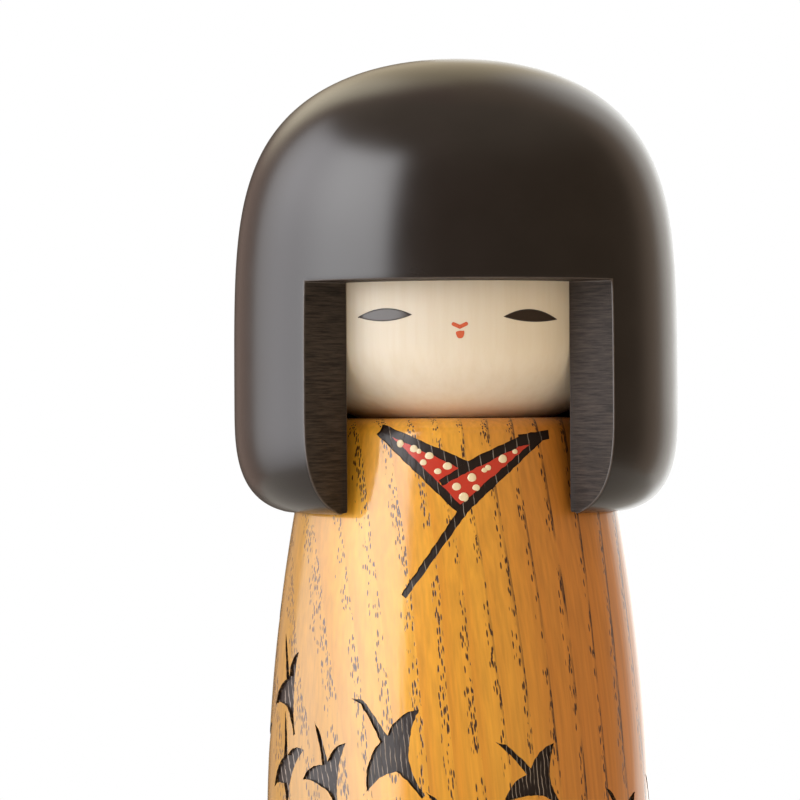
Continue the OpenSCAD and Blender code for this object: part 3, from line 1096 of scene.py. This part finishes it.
@dataclass
class Head:
    """The turned head and the face painted on it. Sizes in millimetres."""

    radius: float = field(default_factory=lambda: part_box("head")[1].x / MM)
    chin_z: float = field(default_factory=lambda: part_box("head")[0].z / MM)
    top_z: float = field(default_factory=lambda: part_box("head")[1].z / MM)
    chin_r: float = 22
    jaw: float = 16
    jaw_turn: float = 30
    neck_hole: Point = (6.03, 15.5)
    crown_hole: Point = (4.03, 12.5)
    cheek_z: int = 184
    mouth: Point = (0.25, 184.0)
    paint: float = 0.06
    columns: int = 288

    def jaw_point(self, turn: float) -> Point:
        """A point of the rounding from the chin, at jaw_turn degrees, to the cheek, at 90."""
        t, first = math.radians(turn), math.radians(self.jaw_turn)
        centre = (self.chin_r - self.radius * math.sin(first)) / (1 - math.sin(first))
        return (
            centre + (self.radius - centre) * math.sin(t),
            self.chin_z + self.jaw * (1 - math.cos(t) / math.cos(first)),
        )

    def on_face(self, across: float, up: float, outer: bool) -> Vector:
        """Where a point of the painted face lies, in the wood or on top of the paint."""
        r = self.radius + (self.paint if outer else -self.paint)
        return Vector((across, -math.sqrt(r * r - across * across), up))

    def build(self) -> None:
        """Makes the head, the eyes and the lips."""
        neck_r, neck_up = self.neck_hole
        crown_r, crown_down = self.crown_hole
        profile = [(0, self.chin_z + neck_up), (neck_r, self.chin_z + neck_up), (neck_r, self.chin_z)]
        profile += evenly(self.jaw_point, self.jaw_turn, 90, 0.9)
        profile += [(self.radius, z) for z in range(self.cheek_z, int(self.top_z) - 1, 3)]
        profile += arc((self.radius - 1, self.top_z - 1), 1, 0, 90, 4)
        profile += [(crown_r, self.top_z), (crown_r, self.top_z - crown_down), (0, self.top_z - crown_down)]
        head = make_object("head_turned", turned(profile, self.columns), DOGWOOD)
        enrol(head, Body.HEAD, "dogwood", "head")
        for name, eye in (("eye_left", LEFT_EYE), ("eye_right", RIGHT_EYE)):
            self._paint(name, [eye.outline()], (INK, DRY_INK), "ink", rim=0.24)
        upper, lower = self._lips()
        self._paint("lip_upper", upper, (LIP, LIP_EDGE), "lip_red", rim=0.12)
        self._paint("lip_lower", lower, (LIP, LIP_EDGE), "lip_red", rim=0.12)

    def _lips(self) -> tuple[list[Outline], list[Outline]]:
        """The upper lip as one bent stroke, and the lower lip as a small drop below it."""
        x, z = self.mouth
        left, right = Vector((x - 1.35, z + 0.62)), Vector((x + 1.35, z + 0.66))
        dip = Vector((x, z + 0.02))
        upper = [self._brushed(left, dip, 0.8, 0.82), self._brushed(right, dip, 0.8, 0.78)]
        z -= 0.65
        corners = [
            (-0.9, -0.4), (-0.45, -0.25), (0.1, -0.15), (0.6, -0.2), (0.95, -0.1),
            (0.9, -1.1), (0.5, -1.8), (-0.45, -1.75), (-0.75, -1.1),
        ]
        return upper, [rounded([(x + a, z + b) for a, b in corners])]

    def _brushed(self, start: Vector, end: Vector, wide: float, narrow: float) -> Outline:
        """A short stroke of a soft brush, with round ends."""
        way = math.degrees(math.atan2(end.y - start.y, end.x - start.x))
        tail = arc(tuple(start), wide / 2, way + 90, way + 270, 8)
        return tail + arc(tuple(end), narrow / 2, way - 90, way + 90, 8)

    def _paint(
        self, node: str, outlines: list[Outline], finishes: Sequence[Finish], slot: str, rim: float
    ) -> None:
        """Lays paint on the face.

        Args:
            node: The coat's name.
            outlines: What is painted.
            finishes: What it is painted with, and how that looks along its border.
            slot: A name for its material slot; not used.
            rim: How wide the border is.
        """
        films = [slab(outline, 0.8, self.on_face, rim) for outline in outlines]
        obj = make_object(f"{node}_film", join(films), *finishes)
        enrol(obj, Body.HEAD, slot, node)


# ------------------------------------------------------------ the hair


@dataclass
class HairCap:
    """The bobbed hair: turned, bored out, and sawn open for the face. Sizes in millimetres."""

    radius: float = 50
    crown_z: float = field(default_factory=lambda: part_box("hair_cap")[1].z / MM)
    dome_z: float = 156.3
    dome_power: tuple[float, float] = (2.13, 5.14)
    hem_top: float = 167
    hem_z: float = 143
    hem_r: float = 30.4
    hem_power: float = 3
    hem_edge: float = 1.2
    bore_r: float = 38
    bore_top: float = 212.5
    crown_hole: Point = (4.03, 12)
    fringe_z: float = 193.9
    window_in: Point = (24.2, 29.3)
    window_out: Point = (33.05, 37.52)
    columns: int = 288
    row: float = 1.5
    hem_row: float = 1.2
    crown_turn: float = 89.9999
    bore_rows: tuple[float, ...] = (150, 158, 166, 174, 182, 188, 200, 206)
    eased: float = 0.28
    shifted: float = 12

    def dome(self, turn: float) -> Point:
        """A point of the dome, from the side at 0 degrees to the crown at 90."""
        t = math.radians(turn)
        return (
            self.radius * math.cos(t) ** (2 / self.dome_power[0]),
            self.dome_z + (self.crown_z - self.dome_z) * math.sin(t) ** (2 / self.dome_power[1]),
        )

    def dome_turn(self, z: float) -> float:
        """The angle at which the dome reaches a height."""
        part = (z - self.dome_z) / (self.crown_z - self.dome_z)
        return math.degrees(math.asin(part ** (self.dome_power[1] / 2)))

    def hem(self, turn: float) -> Point:
        """A point of the hem, from the bore at 0 degrees to the side at 90."""
        t = math.radians(turn)
        return (
            self.hem_r + (self.radius - self.hem_r) * math.sin(t) ** (2 / self.hem_power),
            self.hem_top - (self.hem_top - self.hem_z) * math.cos(t) ** (2 / self.hem_power),
        )

    def profile(self) -> Outline:
        """The hair's whole cross-section, from the crown down the outside and up the bore."""
        part = (self.bore_r + self.hem_edge - self.hem_r) / (self.radius - self.hem_r)
        start = math.degrees(math.asin(part ** (self.hem_power / 2)))
        lip = (self.bore_r + self.hem_edge, self.hem(start)[1] + self.hem_edge)
        fringe = self.dome_turn(self.fringe_z)
        points = evenly(self.dome, self.crown_turn, fringe, self.row)[:-1]
        points += evenly(self.dome, fringe, self.dome_turn(self.hem_top + 2), self.row)
        points += evenly(self.hem, 90, start, self.hem_row)
        points += arc(lip, self.hem_edge, 250, 180, 5)
        points += [(self.bore_r, z) for z in sorted((*self.bore_rows, self.fringe_z))]
        hole_r, hole_up = self.crown_hole
        points += [(self.bore_r, self.bore_top), (hole_r, self.bore_top)]
        points += [(hole_r, self.bore_top + hole_up), (0, self.bore_top + hole_up)]
        return [(0, self.crown_z)] + points[1:]

    def window_turn(self, r: float) -> float:
        """How far round from the front the window's saw cut runs, in degrees, at a radius."""
        (x0, y0), (x1, y1) = self.window_in, self.window_out
        dx, dy = x1 - x0, y1 - y0
        r = min(max(r, self.bore_r), self.radius)
        a, b, c = dx * dx + dy * dy, 2 * (x0 * dx + y0 * dy), x0 * x0 + y0 * y0 - r * r
        t = (-b + math.sqrt(b * b - 4 * a * c)) / (2 * a)
        return math.degrees(math.atan2(x0 + t * dx, y0 + t * dy))

    def _meet_cuts(self, bm: Mesh) -> None:
        """Shifts the columns next to each saw cut so that one of them lies in the cut.

        Args:
            bm: The turned hair.
        """
        pitch = 360 / self.columns
        middle = (self.window_turn(self.bore_r) + self.window_turn(self.radius)) / 2
        column = round(middle / pitch) * pitch
        for v in bm.verts:
            r = v.co.xy.length
            if r < 1:
                continue
            turn = math.degrees(math.atan2(v.co.x, -v.co.y))
            pull = max(0.0, 1 - abs(abs(turn) - column) / self.shifted)
            turn += math.copysign(pull * (self.window_turn(r) - column), turn)
            v.co.x = r * math.sin(math.radians(turn))
            v.co.y = -r * math.cos(math.radians(turn))

    def _in_window(self, at: Vector) -> bool:
        """Whether a point lies in what the saw takes away."""
        turn = math.degrees(math.atan2(at.x, -at.y))
        return at.z < self.fringe_z and abs(turn) < self.window_turn(at.xy.length)

    def _saw_window(self, bm: Mesh) -> list[bmesh.types.BMFace]:
        """Saws the window out and closes the three cut faces.

        Args:
            bm: The turned hair.

        Returns:
            The cut faces.
        """
        gone = [f for f in bm.faces if self._in_window(f.calc_center_median())]
        bmesh.ops.delete(bm, geom=gone, context="FACES")
        rim = [e for e in bm.edges if e.is_boundary]
        level = [e for e in rim if all(abs(v.co.z - self.fringe_z) < 0.01 for v in e.verts)]
        fringe = bmesh.ops.bridge_loops(bm, edges=level)["faces"]
        rim = [e for e in bm.edges if e.is_boundary]
        sides = bmesh.ops.holes_fill(bm, edges=rim, sides=0)["faces"]
        return list(fringe) + list(sides)

    def build(self) -> None:
        """Makes the hair cap."""
        bm = turned(self.profile(), self.columns)
        quarter = Matrix.Rotation(-math.pi / 2, 3, "Z")
        bmesh.ops.rotate(bm, cent=(0, 0, 0), matrix=quarter, verts=bm.verts)
        self._meet_cuts(bm)
        sawn = set(self._saw_window(bm))
        bmesh.ops.recalc_face_normals(bm, faces=bm.faces)
        for f in sawn:
            f.material_index = 1
        edges = [e for e in bm.edges if len([f for f in e.link_faces if f in sawn]) == 1]
        corners = [
            e for e in bm.edges
            if all(f in sawn for f in e.link_faces) and e.calc_face_angle(0) > math.radians(30)
        ]
        eased = bmesh.ops.bevel(
            bm, geom=edges + corners, offset=self.eased, offset_type="OFFSET", segments=2,
            profile=0.5, affect="EDGES", material=-1, clamp_overlap=False,
        )
        # The eased faces take the edge finish, painted lighter as a highlight.
        for f in eased["faces"]:
            f.material_index = 2
        obj = make_object("hair_cap_turned", bm, HAIR_LACQUER, SAWN, EDGE, crease=40)
        enrol(obj, Body.HEAD, "black_wood", "hair_cap")


# ------------------------------------------------------------ the studio


def extent(tree: Tree, view: dict[str, Socket], edges: tuple[Edge, ...]) -> Any:
    """How far a direction lies within some edges, from 0 to 1.

    Args:
        tree: The world's tree.
        view: The angles of the direction, by name.
        edges: Each names an angle, and the degrees at which it begins to count
            and at which it is all there.

    Returns:
        The product of all the edges.
    """
    whole: Any = 1.0
    for angle, begin, full in edges:
        part = add(tree, "MapRange", span(view[angle], begin, full), **SMOOTH)
        whole = add(tree, "Math", {0: part, 1: whole}, operation="MULTIPLY")
    return whole


@dataclass(frozen=True)
class Zone:
    """A part of the room that gives its own light, and the edges that it lies in."""

    light: Triple
    edges: tuple[Edge, ...] = ()

    def weight(self, tree: Tree, view: dict[str, Socket]) -> Any:
        """How much of the zone a direction sees, from 0 to 1."""
        return extent(tree, view, self.edges)


@dataclass(frozen=True)
class Glow(Zone):
    """A round zone about a direction, all there up to inner degrees and gone past outer."""

    azimuth: float = 0
    height: float = 0
    inner: float = 10
    outer: float = 50

    def weight(self, tree: Tree, view: dict[str, Socket]) -> Any:
        """How much of the zone a direction sees, from 0 to 1."""
        a, h = math.radians(self.azimuth), math.radians(self.height)
        aim = (math.sin(a) * math.cos(h), -math.cos(a) * math.cos(h), math.sin(h))
        near = add(tree, "VectorMath", {0: view["way"], 1: aim}, "Value", operation="DOT_PRODUCT")
        outer, inner = (math.cos(math.radians(d)) for d in (self.outer, self.inner))
        return add(tree, "MapRange", span(near, outer, inner), **SMOOTH)


UPPER: tuple[Edge, ...] = (("rise", 12, 30), ("rise", 72, 50))

# What lights matt surfaces: the ceiling, the back, a warm wall on the right, the table, the window.
SOFT = (
    Zone((0.1, 0.085, 0.06)),
    Zone((0.72, 0.71, 0.68), (("rise", 20, 60),)),
    Zone((0.8, 0.76, 0.7), (("spread", 120, 150),)),
    Glow((0.95, 0.75, 0.48), azimuth=62, height=8, inner=20, outer=70),
    Glow((1.05, 0.86, 0.64), azimuth=-2, height=-17, inner=10, outer=50),
    Glow((6.6, 6.95, 7.5), azimuth=-62, height=6, inner=6, outer=26),
)

# What glossy surfaces mirror round the window: a dim room with pale walls behind.
ROOM = (
    Zone((0.2, 0.16, 0.12)),
    Zone((0.5, 0.42, 0.33), (("rise", 30, 60),)),
    Zone((0.42, 0.36, 0.3), (("rise", -5, -25),)),
    # The right-hand wall, brighter and whiter towards the back.
    Zone((0.6, 0.46, 0.35), (("turn", 106, 118),)),
    Zone((1.4, 1.32, 1.22), (("turn", 127, 138), ("rise", 64, 38))),
    Zone((1.9, 1.9, 1.85), (("turn", 146, 160), ("rise", 45, 20))),
    # The left-hand wall behind the window: dim, with a pale upper part.
    Zone((0.48, 0.34, 0.28), (("turn", -124, -136),)),
    Zone((2.0, 1.78, 1.35), (("turn", -136, -150), *UPPER)),
    Zone((0.14, 0.11, 0.09), (("turn", -154, -164), ("rise", 26, 12))),
    # Straight behind, tan.
    Zone((1.1, 0.92, 0.62), (("spread", 158, 174), *UPPER)),
)

# The window's pane, from its front edge to its back one, its brighter sky, and where it lies.
PANE = (
    Zone((5.3, 5.3, 5.4)),
    Zone((3.3, 3.27, 3.4), (("turn", -64, -98),)),
    Zone((1.6, 1.55, 1.55), (("turn", -98, -128),)),
)
SKY: tuple[Edge, ...] = (("rise", 4, 26),)
WINDOW: tuple[Edge, ...] = (("turn", -31, -40), ("turn", -133, -123), ("rise", 50, 40), ("rise", -32, -3))


@dataclass
class Studio:
    """The camera, the room's light and the paper that the doll stands on. Sizes in metres."""

    height: float = 0.1685
    distance: float = 0.656
    aside: float = 0.0126
    lens: float = 130.5
    roll: float = 0.35
    floor: float = 0.45
    sky: float = 1.32

    def camera(self) -> None:
        """A level camera in front of the doll and a little to its left."""
        data = bpy.data.cameras.new("camera")
        data.lens = self.lens
        data.sensor_width = 36
        data.clip_start = 0.01
        camera = bpy.data.objects.new("camera", data)
        camera.location = (-self.aside, -self.distance, self.height)
        camera.rotation_euler = (math.pi / 2, math.radians(self.roll), 0)
        bpy.context.scene.collection.objects.link(camera)
        bpy.context.scene.camera = camera

    def ground(self) -> None:
        """A round sheet of pale paper."""
        bm = bmesh.new()
        bmesh.ops.create_circle(bm, cap_ends=True, radius=self.floor / MM, segments=96)
        make_object("paper", bm, PAPER)

    def view(self, tree: Tree) -> dict[str, Socket]:
        """The direction that is looked in, and its angles in degrees.

        Args:
            tree: The world's tree.

        Returns:
            way is the direction, turn its angle from the front to the right,
            spread the same on both sides, and rise its angle above level.
        """
        way = add(tree, "TexCoord", out="Generated")
        right = add(tree, "SeparateXYZ", {0: way})
        ahead = add(tree, "Math", {0: right.node.outputs[1], 1: -1.0}, operation="MULTIPLY")
        turn = add(tree, "Math", {0: right, 1: ahead}, operation="ARCTAN2")
        rise = add(tree, "Math", {0: right.node.outputs[2]}, operation="ARCSINE")
        turn, rise = (add(tree, "Math", {0: angle}, operation="DEGREES") for angle in (turn, rise))
        spread = add(tree, "Math", {0: turn}, operation="ABSOLUTE")
        return {"way": way, "turn": turn, "rise": rise, "spread": spread}

    def room(self) -> None:
        """The room's light: a tall window on the left, white walls behind, a dim room in front."""
        world = bpy.data.worlds.new("room")
        bpy.context.scene.world = world
        world.use_nodes = True
        tree = world.node_tree
        tree.nodes.clear()
        view = self.view(tree)

        def lit(first: Zone, *zones: Zone) -> Any:
            """Lays the light of each zone over what is there before it."""
            seen: Any = (*first.light, 1)
            for zone in zones:
                seen = add(tree, "Mix", coats(zone.weight(tree, view), seen, (*zone.light, 1)), **MIX)
            return seen

        soft, mirrored, pane = lit(*SOFT), lit(*ROOM), lit(*PANE)
        sky = add(tree, "VectorMath", {0: pane, "Scale": self.sky}, operation="SCALE")
        pane = add(tree, "Mix", coats(extent(tree, view, SKY), pane, sky), **MIX)
        mirrored = add(tree, "Mix", coats(extent(tree, view, WINDOW), mirrored, pane), **MIX)
        camera = add(tree, "LightPath", out="Is Camera Ray")
        light = add(tree, "Mix", coats(camera.node.outputs["Is Glossy Ray"], soft, mirrored), **MIX)
        light = add(tree, "Mix", coats(camera, light, (1, 1, 1, 1)), **MIX)
        shine = add(tree, "Background", {"Color": light, "Strength": 1.0})
        tree.links.new(shine, tree.nodes.new("ShaderNodeOutputWorld").inputs["Surface"])

    def build(self) -> None:
        """Sets up the camera, the ground and the light."""
        self.camera()
        self.ground()
        self.room()
        bpy.context.scene.view_settings.view_transform = "Standard"


def dress_dowels() -> None:
    """Gives the two hidden dowels their own wood."""
    for name in ("neck_dowel", "crown_dowel"):
        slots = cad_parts[name].data.materials
        slots.clear()
        slots.append(BEECH.material())
        log.info("%s: dressed in %s", name, BEECH.name)


def main() -> None:
    """Builds the doll and its studio."""
    logging.basicConfig(level=logging.INFO, format="%(name)s: %(message)s")
    Studio().build()
    CarvedBody().build()
    Head().build()
    HairCap().build()
    dress_dowels()


if __name__ == "__main__":
    main()
